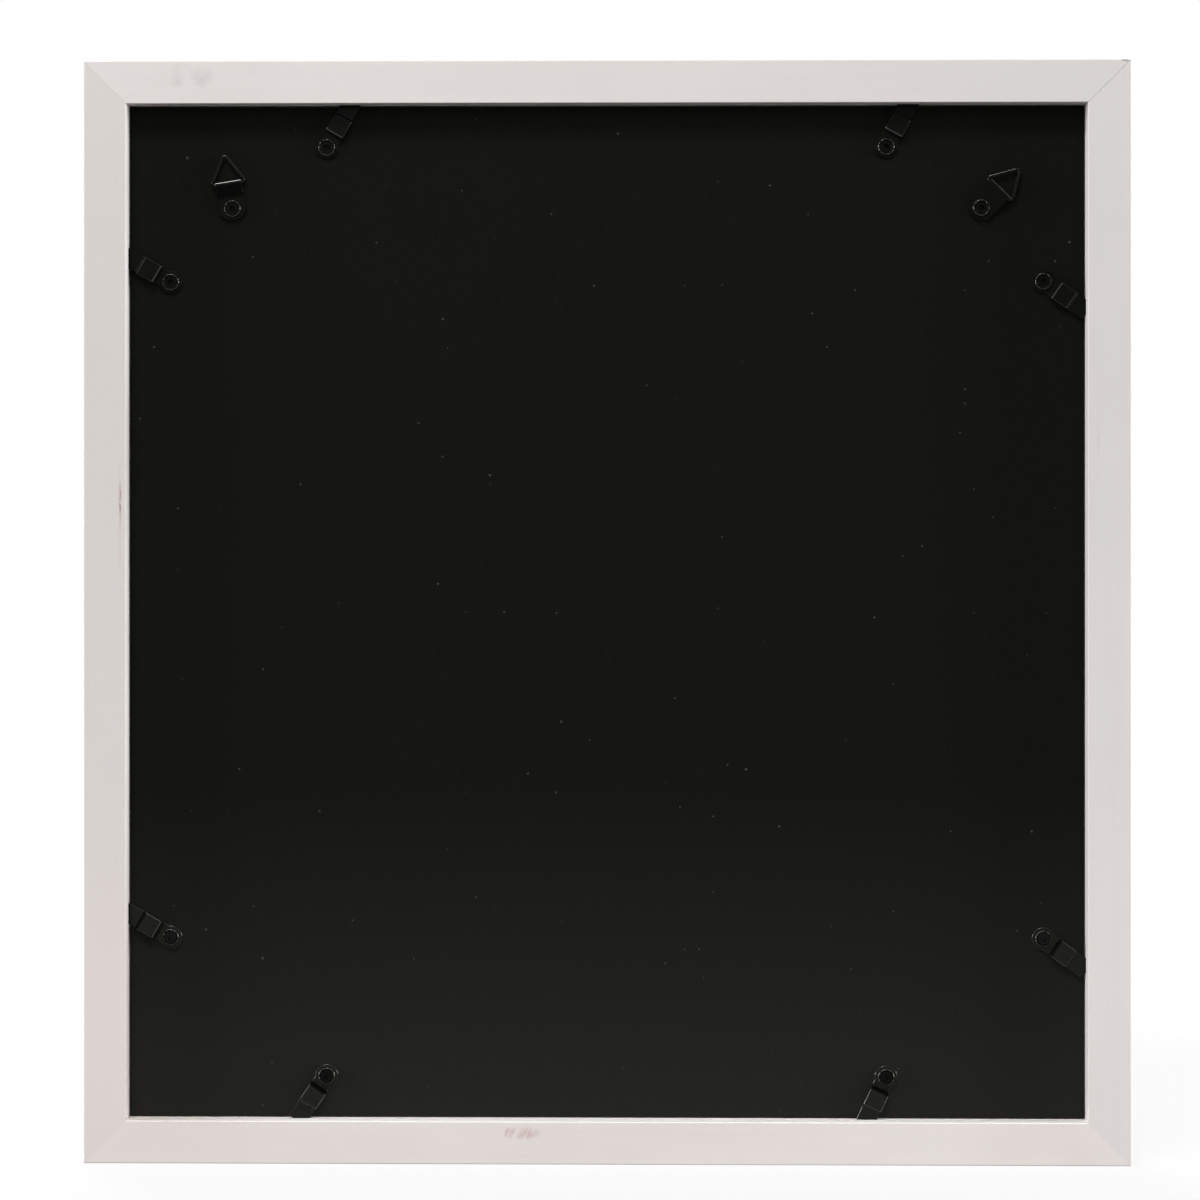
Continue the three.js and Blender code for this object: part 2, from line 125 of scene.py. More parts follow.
class Finish:
    """The node tree of a material or a world, built from its first node to its output."""

    def __init__(self, owner):
        owner.use_nodes = True
        self.owner = owner
        self.links = owner.node_tree.links
        self.nodes = owner.node_tree.nodes
        self.nodes.clear()

    def node(self, kind, inputs, output=0, stops=(), **settings):
        made = self.nodes.new(kind)
        for name, setting in settings.items():
            setattr(made, name, setting)
        for stop, (position, level) in enumerate(stops):
            element = made.color_ramp.elements[stop]
            element.position = position
            element.color = (level, level, level, 1)
        for name, value in inputs.items():
            if isinstance(value, Value):
                self.links.new(value.socket, made.inputs[name])
            else:
                made.inputs[name].default_value = value
        return Value(self, made.outputs[output])

    def place(self):
        return self.node("ShaderNodeTexCoord", {}, "Object")

    def noise(self, place, scale, detail=2, stretch=(1, 1, 1), lean=0):
        """Grain drawn out along the axes, which lean about Y by an angle in degrees."""
        inputs = {"Vector": place, "Rotation": (0, math.radians(lean), 0), "Scale": stretch}
        spot = self.node("ShaderNodeMapping", inputs, vector_type="TEXTURE")
        return self.node("ShaderNodeTexNoise", {"Vector": spot, "Scale": scale, "Detail": detail})

    def ramp(self, value, low, high):
        return self.node("ShaderNodeValToRGB", {"Fac": value}, stops=((low, 0), (high, 1)))

    def mix(self, share, first, second):
        inputs = {0: share, 6: first, 7: second}
        return self.node("ShaderNodeMix", inputs, 2, data_type="RGBA")

    def patch(self, place, centre, reach):
        """1 at a place on the piece and 0 from its reach outwards, an ellipsoid."""
        scale = [1 / r for r in reach]
        shift = [-c / r for c, r in zip(centre, reach)]
        inputs = {"Vector": place, "Location": shift, "Scale": scale}
        spot = self.node("ShaderNodeMapping", inputs)
        away = self.node("ShaderNodeVectorMath", {0: spot}, "Value", operation="LENGTH")
        return self.ramp(1 - away, 0, MARK_FULL)

    def bump(self, height, distance):
        return self.node("ShaderNodeBump", {"Height": height, "Distance": distance})

    def surface(self, **inputs):
        named = {name.replace("_", " "): value for name, value in inputs.items()}
        named["Specular IOR Level"] = named.pop("Specular", 0.5)
        self.show(self.node("ShaderNodeBsdfPrincipled", named))
        return self.owner

    def show(self, shader, kind="ShaderNodeOutputMaterial"):
        self.links.new(shader.socket, self.nodes.new(kind).inputs["Surface"])


def sprayed_paint(name, white, grain, marks):
    """Off-white paint over wood whose grain runs one way, with this rail's marks: real scuffs, smudges and
    chips, and patches of painted light and shade.
    """
    paint = Finish(bpy.data.materials.new(name))
    place = paint.place()
    cloud = paint.noise(place, PAINT_CLOUD, detail=3)
    streak = paint.noise(place, PAINT_STREAK, detail=3, stretch=grain)
    peel = paint.noise(place, PAINT_PEEL)
    colour = paint.mix(cloud * CLOUD_SHARE + streak * STREAK_SHARE, THIN_PAINT_AND_SHADE, white)
    for (tint, strength), (crumb, stroke, lean), centre, reach in marks:
        cover = paint.patch(place, [c * MM for c in centre], [r * MM for r in reach]) * strength
        if crumb:
            crumbs = paint.noise(place, crumb, detail=3, stretch=(1, 1, stroke), lean=lean)
            cover *= paint.ramp(crumbs, CRUMB_LOW, CRUMB_HIGH)
        colour = paint.mix(cover, colour, tint)
    roughness = PAINT_ROUGHNESS + STREAK_ROUGHNESS * streak + CLOUD_ROUGHNESS * cloud
    normal = paint.bump(streak + peel * PEEL_SHARE, PAINT_RELIEF)
    return paint.surface(Base_Color=colour, Roughness=roughness, Normal=normal, Specular=0.35)


def start():
    """Leaves nothing selected, before a new piece is begun."""
    bpy.ops.object.select_all(action="DESELECT")


def pick(kind, test):
    """In edit mode, selects the corners, edges or faces that pass a test, and nothing else."""
    bpy.ops.mesh.select_mode(type=kind)
    bpy.ops.mesh.select_all(action="DESELECT")
    mesh = bpy.context.edit_object.data
    work = bmesh.from_edit_mesh(mesh)
    for item in {"VERT": work.verts, "EDGE": work.edges, "FACE": work.faces}[kind]:
        if test(item):
            item.select_set(True)
    work.select_flush_mode()
    bmesh.update_edit_mesh(mesh)


def near(first, second):
    return abs(first - second) < SAME_PLACE


def edge_at(axis, **place):
    """A test for the edges that run along an axis at a place on the other two."""
    def test(edge):
        first, second = (corner.co for corner in edge.verts)
        along = (second - first).normalized()
        here = all(near(getattr(first, key), value) for key, value in place.items())
        return here and abs(getattr(along, axis)) > RUNS_ALONG
    return test


def modify(kind, **settings):
    """Adds a modifier to the piece at hand, with its settings, and applies it."""
    piece = bpy.context.object
    bpy.ops.object.modifier_add(type=kind)
    modifier = piece.modifiers[-1]
    for name, setting in settings.items():
        setattr(modifier, name, setting)
    bpy.ops.object.modifier_apply(modifier=modifier.name)


def shade(angle=35):
    """Smooth over the rounded edges, with the flats kept flat."""
    bpy.ops.object.shade_smooth_by_angle(angle=math.radians(angle))
    modify("WEIGHTED_NORMAL", keep_sharp=True)


def settle(name, body, slot, finishes, *nodes):
    """Names the piece at hand, puts its place into its mesh and sets it on its body."""
    bpy.ops.object.transform_apply(location=True, rotation=True, scale=True)
    piece = bpy.context.object
    piece.name = piece.data.name = name
    for finish in finishes:
        piece.data.materials.append(finish)
    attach(piece, body)
    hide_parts(*nodes)
    return piece


def rail(side, length, reach, turn, joints, finish):
    """A rail is shaped as the bottom one, about the frame's middle, and turned to its side."""
    start()
    outer, wall, lip = -reach, WALL - reach, WALL + LIP - reach
    bpy.ops.mesh.primitive_cube_add(
        size=1, location=(0, (FRONT + BACK) / 2, (outer + wall) / 2), scale=(length, BACK - FRONT, WALL)
    )
    bpy.ops.object.transform_apply(location=True, scale=True)
    bpy.ops.object.mode_set(mode="EDIT")
    for y in (LIP_BACK, GROOVE_FRONT, GROOVE_BACK):
        bpy.ops.mesh.select_all(action="SELECT")
        bpy.ops.mesh.bisect(plane_co=(0, y, 0), plane_no=(0, 1, 0))

    pick("FACE", lambda face: face.normal.z > LOOKS_ALONG and face.calc_center_median().y < LIP_BACK)
    bpy.ops.mesh.extrude_region_move(TRANSFORM_OT_translate={"value": (0, 0, LIP)})
    pick("FACE", lambda face: face.normal.z > LOOKS_ALONG
         and GROOVE_FRONT < face.calc_center_median().y < GROOVE_BACK)
    bpy.ops.mesh.extrude_region_move(TRANSFORM_OT_translate={"value": (0, 0, -GROOVE_DEPTH)})

    for y, z, radius, segments in (
        (FRONT, outer, FRONT_ROUND, 5),
        (FRONT, lip, FRONT_ROUND, 5),
        (BACK, outer, BACK_ROUND, 4),
        (BACK, wall, BACK_ROUND, 4),
        (LIP_BACK, lip, SMALL_ROUND, 2),
        (GROOVE_FRONT, wall, SMALL_ROUND, 2),
        (GROOVE_BACK, wall, SMALL_ROUND, 2),
    ):
        pick("EDGE", edge_at("x", y=y, z=z))
        bpy.ops.mesh.bevel(offset=radius, segments=segments, affect="EDGES")

    for end, gap in zip((-1, 1), joints):
        bpy.ops.mesh.select_all(action="SELECT")
        bpy.ops.mesh.bisect(
            plane_co=(end * (length / 2 - gap), 0, outer), plane_no=(end, 0, 1),
            use_fill=True, clear_outer=True,
        )
    bpy.ops.object.mode_set(mode="OBJECT")
    bpy.context.object.location = MIDDLE
    bpy.context.object.rotation_euler = (0, math.radians(turn), 0)
    shade()
    return settle(f"painted_rail_{side}", "frame", "white_paint", [finish], f"frame_rail_{side}")


ALONG_X, ALONG_Z = (33, 1, 1), (1, 1, 33)  # how far the grain is drawn out
# Each mark: its tint and strength, the number to the metre, length and lean of its crumbs, and its
# middle and reach in millimetres
# The broad, cloudy kind of patch carries painted light and shade, and the even kind painted light on the
# inner walls
SOFT, CRUMBS, STROKES, LIGHT_AND_SHADE_PATCH = (150, 1, 0), (700, 1, 0), (620, 5, -24), (9, 1, 0)
RUB, GRAZE, EVEN = (480, 5, 2), (1100, 3, 0), (0, 1, 0)
TOP_MARKS = (
    # painted shade over the right end of the top rail
    ((COOL_PAINTED_SHADE, 0.75), LIGHT_AND_SHADE_PATCH, (-190, 11.6, 440), (140, 40, 60)),
    ((SMUDGE_GREY, 0.46), SOFT, (171.6, 11.6, 438.8), (5.4, 4, 6.2)),
    ((SMUDGE_GREY, 0.25), SOFT, (163.2, 11.6, 438.4), (6.0, 4, 5.4)),
    ((CHIP_DARK, 0.9), CRUMBS, (-209.4, 11.2, 444.8), (3.0, 4, 1.0)),
)
RIGHT_MARKS = (
    # painted shade down the upper part of the right rail
    ((COOL_PAINTED_SHADE, 0.80), LIGHT_AND_SHADE_PATCH, (-202, 11.6, 330), (40, 40, 260)),
    ((SCUFF_PINK, 0.30), RUB, (-197.8, 11.6, 296), (0.9, 4, 24)),
    ((SCUFF_PINK, 0.18), RUB, (-195.9, 11.6, 331), (0.7, 4, 12)),
    ((CHIP_DARK, 0.9), CRUMBS, (-193.4, 11.2, 17.6), (0.9, 3, 1.3)),
)
BOTTOM_MARKS = (
    # painted light on the inner wall
    ((PAINTED_WALL_LIGHT, 0.9), EVEN, (0, 6.6, 17.2), (700, 12, 0.5)),
    # painted light and shade at the left end, and painted light at the right end
    ((WARM_PAINTED_LIGHT_AND_SHADE, 0.7), LIGHT_AND_SHADE_PATCH, (215, 11.6, 8), (110, 40, 60)),
    ((PALE_PAINTED_LIGHT, 0.6), LIGHT_AND_SHADE_PATCH, (-190, 11.6, 8), (240, 40, 60)),
    ((SCUFF_PINK, 0.80), STROKES, (34.0, 11.6, 12.6), (8.6, 4, 3.0)),
    ((SCUFF_PINK, 0.75), STROKES, (39.4, 11.6, 12.6), (2.6, 4, 2.4)),
)
LEFT_MARKS = (
    # painted light on the inner wall
    ((PAINTED_WALL_LIGHT, 0.9), EVEN, (193.8, 6.6, 222.5), (0.5, 12, 700)),
    # painted shade down the middle, and painted light and shade at the foot
    ((THIN_PAINT_AND_SHADE, 0.9), LIGHT_AND_SHADE_PATCH, (202, 11.6, 250), (40, 40, 230)),
    ((WARM_PAINTED_LIGHT_AND_SHADE, 0.9), LIGHT_AND_SHADE_PATCH, (202, 11.6, 10), (60, 40, 150)),
    ((SCUFF_PINK, 0.85), RUB, (196.1, 11.6, 270), (0.9, 4, 16)),
    ((CHIP_DARK, 0.55), GRAZE, (196.2, 11.6, 268), (0.5, 4, 10)),
    ((SCUFF_PINK, 0.38), RUB, (196.4, 11.6, 250), (0.8, 4, 13)),
    ((CHIP_DARK, 0.9), CRUMBS, (193.4, 11.2, 17.6), (0.9, 3, 1.3)),
)
HALF_WIDTH, HALF_HEIGHT = FRAME_WIDTH / 2, FRAME_HEIGHT / 2
rail("bottom", FRAME_WIDTH, HALF_HEIGHT, 0, (JOINT_TIGHT, JOINT_TIGHT),
     sprayed_paint("bottom_rail_paint", BOTTOM_WHITE, ALONG_X, BOTTOM_MARKS))
rail("left", FRAME_HEIGHT, HALF_WIDTH, -90, (JOINT_TIGHT, JOINT_FINE),
     sprayed_paint("left_rail_paint", LEFT_WHITE, ALONG_Z, LEFT_MARKS))
rail("top", FRAME_WIDTH, HALF_HEIGHT, 180, (JOINT_FINE, JOINT_OPEN),
     sprayed_paint("top_rail_paint", TOP_WHITE, ALONG_X, TOP_MARKS))
rail("right", FRAME_HEIGHT, HALF_WIDTH, 90, (JOINT_OPEN, JOINT_TIGHT),
     sprayed_paint("right_rail_paint", RIGHT_WHITE, ALONG_Z, RIGHT_MARKS))

# Joining nails
# Two folded strips of spring steel in each mitre, driven in from behind with a press, then
# filled and painted over, so nothing of them shows in the finished frame.
NAIL_STEEL = (0.42, 0.43, 0.44, 1)
NAIL_STEEL_DULL = (0.30, 0.30, 0.31, 1)
ROLLING_GRAIN, ROLLING_STRETCH = 1400, (1, 20, 1)  # cells to the metre, drawn out the way it was rolled
STEEL_ROUGHNESS, ROLLING_ROUGHNESS = 0.30, 0.2

steel = Finish(bpy.data.materials.new("rolled_steel"))
rolling = steel.noise(steel.place(), ROLLING_GRAIN, detail=3, stretch=ROLLING_STRETCH)
rolled_steel = steel.surface(
    Base_Color=steel.mix(rolling, NAIL_STEEL_DULL, NAIL_STEEL),
    Roughness=STEEL_ROUGHNESS + ROLLING_ROUGHNESS * rolling,
    Metallic=1,
)


def dress(node, finish):
    """A CAD piece whose shape is right keeps it and gets its finish."""
    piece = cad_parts[node]
    piece.data.materials.clear()
    piece.data.materials.append(finish)


for corner in ("top_left", "top_right", "bottom_right", "bottom_left"):
    for number in (1, 2):
        dress(f"v_nail_{corner}_{number}", rolled_steel)

# Glass
# One pane of 2 mm float glass, cut to the rebate with its edges rubbed down. It lies behind the lip of
# the rails, held there by the mount and the boards behind it.
ARRIS = 0.25 * MM
GLASS_TINT = (0.990, 0.995, 0.992, 1)  # of each face that light goes through
GLASS_IOR = 1.5


def layer_box(node):
    """The middle and the size of a layer that lies in the rebate."""
    low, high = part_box(node)
    return (low + high) / 2, high - low


start()
middle, size = layer_box("glazing")
bpy.ops.mesh.primitive_cube_add(size=1, location=middle, scale=size)
bpy.ops.object.transform_apply(location=True, scale=True)
bpy.ops.object.mode_set(mode="EDIT")
bpy.ops.mesh.select_all(action="SELECT")
bpy.ops.mesh.bevel(offset=ARRIS, segments=2, affect="EDGES")
bpy.ops.object.mode_set(mode="OBJECT")
shade()

glass = Finish(bpy.data.materials.new("float_glass"))
from_lamp = glass.node("ShaderNodeLightPath", {}, "Is Shadow Ray")
from_card = Value(glass, from_lamp.socket.node.outputs["Is Diffuse Ray"])
pane = glass.node("ShaderNodeBsdfPrincipled", {
    "Base Color": GLASS_TINT, "Roughness": 0, "IOR": GLASS_IOR, "Transmission Weight": 1,
})
clear = glass.node("ShaderNodeBsdfTransparent", {"Color": GLASS_TINT})
glass.show(glass.node("ShaderNodeMixShader", {0: from_lamp + from_card, 1: pane, 2: clear}))
settle("glass_pane", "frame", "clear_glass", [glass.owner], "glazing")

# Window mount
# A sheet of white-core card with six windows for 10 x 15 cm prints, each cut with a blade held
# at 45 degrees, so that a bright bevel frames the print.
WINDOW_WIDTH, WINDOW_HEIGHT = 140 * MM, 90 * MM
COLUMNS, ROWS = 2, 3
CARD_WHITE = (0.86, 0.85, 0.82, 1)
CARD_WHITE_SHADE = (0.81, 0.80, 0.77, 1)
CORE_WHITE = (0.90, 0.90, 0.885, 1)
CORE_WHITE_SHADE = (0.84, 0.84, 0.82, 1)
FACE_FIBRE, CORE_FIBRE, CARD_CLOUD = 1500, 3200, 35  # cells to the metre
CARD_CLOUD_SHARE = 0.5  # the tooth of the fibre has the rest
CARD_ROUGHNESS, TOOTH_ROUGHNESS = 0.75, 0.2
CARD_RELIEF = 0.04 * MM
SLACK = 0.1 * MM  # round a place, to pick what lies on it
SLANTED = 0.2  # cosine from which a face is no longer a straight cut


def spaced(count, window, sight):
    """The middles of windows set with one even margin across the sight of the frame."""
    pitch = window + (sight - count * window) / (count + 1)
    return [(step - (count - 1) / 2) * pitch for step in range(count)]


start()
middle, size = layer_box("mount_board")
mount_back, mount_front = middle.y + size.y / 2, middle.y - size.y / 2
across = spaced(COLUMNS, WINDOW_WIDTH, FRAME_WIDTH - 2 * (WALL + LIP))
upward = [middle.z + z for z in spaced(ROWS, WINDOW_HEIGHT, FRAME_HEIGHT - 2 * (WALL + LIP))]
windows = [(x, z) for x in across for z in upward]
bpy.ops.mesh.primitive_plane_add(
    size=1, location=(middle.x, mount_back, middle.z), rotation=(-math.pi / 2, 0, 0)
)
bpy.context.object.scale = (size.x, size.z, 1)
bpy.ops.object.transform_apply(location=True, rotation=True, scale=True)
bpy.ops.object.mode_set(mode="EDIT")
for middles, half, normal in (
    (across, WINDOW_WIDTH / 2, Vector((1, 0, 0))),
    (upward, WINDOW_HEIGHT / 2, Vector((0, 0, 1))),
):
    for line in [m + side * half for m in middles for side in (-1, 1)]:
        bpy.ops.mesh.select_all(action="SELECT")
        bpy.ops.mesh.bisect(plane_co=normal * line, plane_no=normal)


def inside(point, window, margin):
    return (abs(point.x - window[0]) < WINDOW_WIDTH / 2 + margin
            and abs(point.z - window[1]) < WINDOW_HEIGHT / 2 + margin)


pick("FACE", lambda face: any(inside(face.calc_center_median(), w, 0) for w in windows))
bpy.ops.mesh.delete(type="FACE")
bpy.ops.mesh.select_all(action="SELECT")
bpy.ops.mesh.extrude_region_move(TRANSFORM_OT_translate={"value": (0, mount_front - mount_back, 0)})
bevel = mount_back - mount_front
for window in windows:
    pick("VERT", lambda corner: near(corner.co.y, mount_front) and inside(corner.co, window, SLACK))
    bpy.ops.transform.resize(
        value=(1 + 2 * bevel / WINDOW_WIDTH, 1, 1 + 2 * bevel / WINDOW_HEIGHT),
        center_override=(window[0], mount_front, window[1]),
    )
bpy.ops.mesh.select_all(action="SELECT")
bpy.ops.mesh.normals_make_consistent(inside=False)
bpy.ops.object.mode_set(mode="OBJECT")


def laid_card(name, light, dark, fibre):
    """Pressed paper fibre: a matt, faintly clouded surface with a fine tooth."""
    card = Finish(bpy.data.materials.new(name))
    place = card.place()
    tooth = card.noise(place, fibre, detail=4)
    cloud = card.noise(place, CARD_CLOUD, detail=3)
    colour = card.mix(cloud * CARD_CLOUD_SHARE + tooth * (1 - CARD_CLOUD_SHARE), dark, light)
    roughness = CARD_ROUGHNESS + TOOTH_ROUGHNESS * tooth
    normal = card.bump(tooth, CARD_RELIEF)
    return card.surface(Base_Color=colour, Roughness=roughness, Normal=normal, Specular=0.25)


mount = settle(
    "window_mount", "frame", "mount_card",
    [laid_card("mount_face", CARD_WHITE, CARD_WHITE_SHADE, FACE_FIBRE),
     laid_card("mount_core", CORE_WHITE, CORE_WHITE_SHADE, CORE_FIBRE)],
    "mount_board",
)
for face in mount.data.polygons:
    if SLANTED < abs(face.normal.y) < LOOKS_ALONG:
        face.material_index = 1

# Insert sheet
# A blank sheet of pale grey paper, cut to the size of the rebate. It lies loose between the mount and
# the backboard, where the prints go, and shows in the windows.
PAPER = (0.66, 0.655, 0.64, 1)
PAPER_SHADE = (0.61, 0.605, 0.59, 1)
PAPER_FIBRE = 2200  # cells to the metre
dress("insert_sheet", laid_card("insert_paper", PAPER, PAPER_SHADE, PAPER_FIBRE))

# Backboard
# Three millimetres of hardboard, faced with matt black paper behind and left brown at its edges
# and inside. It carries all the fittings on clinched rivets.
FACE_BLACK = (0.0043, 0.0043, 0.0035, 1)
FACE_BLACK_SHADE = (0.0028, 0.0028, 0.0023, 1)
DUST = (0.10, 0.10, 0.095, 1)
# Painted sheen, lighter low on the back, standing in for light from below
LOW_SHEEN_GREY = (0.0130, 0.0130, 0.0114, 1)
BROWN = (0.145, 0.088, 0.050, 1)
FACE_PAPER = 0.15 * MM  # thickness of the black facing
SHEEN_START, SHEEN_FULL = 150 * MM, 40 * MM  # heights between which the painted sheen sets in
SHEEN_EVEN = 0.75  # the fibre breaks up the rest
BOARD_FIBRE, BOARD_CLOUD, DUST_GRAIN = 1300, 16, 520  # cells to the metre
FIBRE_STRETCH = (1, 1, 3)
FIBRE_SHARE = 0.6  # the clouds have the rest
SPECK_LOW, SPECK_HIGH = 0.854, 0.864  # between which a grain of dust starts
SPECK_COVER = 0.42
BOARD_ROUGHNESS, FIBRE_ROUGHNESS = 0.62, 0.16
BOARD_RELIEF = 0.03 * MM


def sheen_low_down(finish, place):
    """1 low down and 0 higher up, for the painted sheen that lightens the board and the fittings there,
    standing in for light from below.
    """
    height = finish.node("ShaderNodeSeparateXYZ", {0: place}, "Z")
    return finish.ramp(1 - height, 1 - SHEEN_START, 1 - SHEEN_FULL)


board = Finish(bpy.data.materials.new("faced_hardboard"))
place = board.place()
fibre = board.noise(place, BOARD_FIBRE, detail=4, stretch=FIBRE_STRETCH)
cloud = board.noise(place, BOARD_CLOUD, detail=3)
faced = board.mix(fibre * FIBRE_SHARE + cloud * (1 - FIBRE_SHARE), FACE_BLACK_SHADE, FACE_BLACK)
faced = board.mix(sheen_low_down(board, place) * (SHEEN_EVEN + (1 - SHEEN_EVEN) * fibre), faced, LOW_SHEEN_GREY)
speck = board.ramp(board.noise(place, DUST_GRAIN, detail=0), SPECK_LOW, SPECK_HIGH)
faced = board.mix(speck * SPECK_COVER, faced, DUST)
behind = board.node("ShaderNodeSeparateXYZ", {0: place}, "Y") > BOARD_BACK - FACE_PAPER
board_finish = board.surface(
    Base_Color=board.mix(behind, BROWN, faced),
    Roughness=BOARD_ROUGHNESS + FIBRE_ROUGHNESS * fibre,
    Normal=board.bump(fibre, BOARD_RELIEF),
    Specular=0.045,
)
dress("backboard", board_finish)

# Spring turn clips
# Strips of spring steel, punched with a round eye, pressed into a hump and dipped in black lacquer.
# Each turns on its rivet, and its tongue springs into the groove of the rail.
CLIP_THICKNESS = 0.8 * MM
CLIP_HALF_WIDTH = 3.9 * MM
CLIP_EYE, SHANK_HOLE = 4.7 * MM, 2.02 * MM  # radii
CLIP_MIDDLE = 0.5 * MM  # middle of the sheet over the board, at the eye
CLIP_PATH = (  # millimetres along the clip and up, to each bend in turn and to the tip
    (5.70, 0.5), (6.55, 2.6), (13.55, 2.6), (14.03, 1.4), (21.75, 1.4),
)
CLIP_BEND = 0.6 * MM
CLIP_TIP_ROUND = 1.0 * MM
CLIP_EDGE = 0.38 * MM
EYE_SIDES = 48
NECK = math.radians(52.5)  # each side of the way the clip points
NECK_FOOT, NECK_HEIGHT = 4.4 * MM, 1.1 * MM  # from the rivet, and over the board
BEND_LEAST = 0.3  # how far the face of a bend looks along the clip
BEAD_LEAST, BEAD_MOST = math.cos(math.radians(68)), math.cos(math.radians(18))  # tilt from the board
BEAD_HEIGHT = 1.82 * MM  # over the board, from which edges catch the light
LACQUER = (0.0034, 0.0034, 0.0029, 1)
LACQUER_WORN = (0.0080, 0.0079, 0.0074, 1)
PAINTED_EDGE_GLINT = (0.165, 0.163, 0.154, 1)  # painted highlight, light grey along the raised edges of the lower clips
PAINTED_SHADE_BLACK = (0.0004, 0.0004, 0.0003, 1)  # painted shade, near black, low down in necks, upward bends and rivet dishes, and on strap slopes that look down
DIP_GRAIN, GRIT_GRAIN = 260, 1500  # cells to the metre
GRIT_LOW, GRIT_HIGH = 0.62, 0.78  # between which a grain of grit starts
GRIT_COVER = 0.5
# how much of the colour painted low down shows on the fittings
LOW_DOWN_COVER = 0.65
LACQUER_ROUGHNESS, DIP_ROUGHNESS, GRIT_ROUGHNESS = 0.20, 0.14, 0.16
DIP_SHARE = 0.7  # of the relief, with the rest for the grit
LACQUER_RELIEF = 0.02 * MM
BEAD_THIN, BEAD_SWELL = 0.55, 0.40  # the least of a bead, and what the dip adds
CLIPS = {  # how far each points clockwise from upright, as seen from behind
    "top_left": 30, "top_right": 28, "right_upper": 125, "right_lower": 126,
    "bottom_right": 205, "bottom_left": 214, "left_lower": 300, "left_upper": 300,
}


def dipped_lacquer(name, bead=0, painted_low_down=LOW_SHEEN_GREY, base_black=LACQUER):
    """Black lacquer with some share of a glossy bead, and a colour painted low down: a sheen standing in
    for light from below, unless painted shade or a painted highlight is given.
    """
    lacquer = Finish(bpy.data.materials.new(name))
    place = lacquer.place()
    dip = lacquer.noise(place, DIP_GRAIN, detail=3)
    grit = lacquer.ramp(lacquer.noise(place, GRIT_GRAIN), GRIT_LOW, GRIT_HIGH)
    colour = lacquer.mix(grit * GRIT_COVER, base_black, LACQUER_WORN)
    return lacquer.surface(
        Base_Color=lacquer.mix(sheen_low_down(lacquer, place) * LOW_DOWN_COVER, colour, painted_low_down),
        Roughness=LACQUER_ROUGHNESS + DIP_ROUGHNESS * dip + GRIT_ROUGHNESS * grit,
        Normal=lacquer.bump(dip * DIP_SHARE + grit * (1 - DIP_SHARE), LACQUER_RELIEF),
        Specular=0.03,
        Coat_Weight=(BEAD_THIN + BEAD_SWELL * dip) * bead,
        Coat_Roughness=0.07,
    )


# Black lacquers for the fittings. Most get a painted sheen low down. One gets painted shade there instead,
# one a painted highlight on raised edges, and one painted shade all over
LACQUERS = [
    dipped_lacquer("black_lacquer"),
    dipped_lacquer("shaded_lacquer", painted_low_down=PAINTED_SHADE_BLACK),
    dipped_lacquer("thin_bead", bead=0.32),
    dipped_lacquer("lacquer_bead", bead=0.95),
    dipped_lacquer("worn_bead", bead=1.05),
    dipped_lacquer("glinting_bead", bead=0.85, painted_low_down=PAINTED_EDGE_GLINT),
    dipped_lacquer("shaded_slope_lacquer", base_black=PAINTED_SHADE_BLACK),
]
PLAIN, SHADED, THIN_BEAD, BEAD, WORN_BEAD, GLINT_BEAD, SHADED_SLOPE = range(len(LACQUERS))


def shank_hole(height):
    """The rim of the hole for a rivet's shank, flat on the bench and open in edit mode."""
    start()
    bpy.ops.mesh.primitive_circle_add(vertices=EYE_SIDES, radius=SHANK_HOLE, location=(0, 0, height))
    bpy.ops.object.transform_apply(location=True)
    bpy.ops.object.mode_set(mode="EDIT")
    bpy.ops.mesh.select_all(action="SELECT")


def widen(across, along, height):
    """Spreads the selected part of the hole's rim out to a round edge."""
    bpy.ops.mesh.extrude_edges_move(TRANSFORM_OT_translate={"value": (0, 0, 0)})
    bpy.ops.transform.resize(
        value=(across / SHANK_HOLE, along / SHANK_HOLE, 1), center_override=(0, 0, height)
    )


def draw_out(y, z, narrow=1):
    """Lengthens a strip from its selected edge to a line across it."""
    bpy.ops.mesh.extrude_edges_move(TRANSFORM_OT_translate={"value": (0, 0, 0)})
    bpy.ops.transform.resize(value=(narrow, 0, 0), center_override=(0, y, z))


def bend_at(y, z, radius):
    pick("EDGE", edge_at("x", y=y, z=z))
    bpy.ops.mesh.bevel(offset=radius, segments=4, affect="EDGES")


def thicken(thickness, edge):
    """Gives a drawn strip the thickness of its sheet, with its cut edges rounded."""
    bpy.ops.mesh.select_all(action="SELECT")
    bpy.ops.mesh.remove_doubles(threshold=0.001 * MM)
    bpy.ops.mesh.normals_make_consistent(inside=False)
    bpy.ops.object.mode_set(mode="OBJECT")
    modify("SOLIDIFY", thickness=thickness, offset=0, use_even_offset=True)
    modify("BEVEL", width=edge, segments=4, limit_method="ANGLE", angle_limit=math.radians(50))
    shade(angle=40)


def place_copy(model, name, body, node, point, clockwise):
    """Turns a copy of a fitting from the bench to its place on the back of the board."""
    start()
    copy = model.copy()
    copy.data = model.data.copy()
    bpy.context.collection.objects.link(copy)
    copy.select_set(True)
    bpy.context.view_layer.objects.active = copy
    copy.location = point
    copy.rotation_euler = (math.pi / 2, math.radians(clockwise), math.pi)
    return settle(name, body, "black_lacquer", LACQUERS, node)


def lacquer_faces(piece, choice):
    """Gives each face of a fitting the lacquer that belongs there."""
    for face in piece.data.polygons:
        face.material_index = choice(face)


def tilted(face):
    """Whether a face belongs to a rounded edge."""
    return BEAD_LEAST < face.normal.y < BEAD_MOST


def raised(face):
    """Whether a face stands clear of the board."""
    return face.center.y > BOARD_BACK + BEAD_HEIGHT


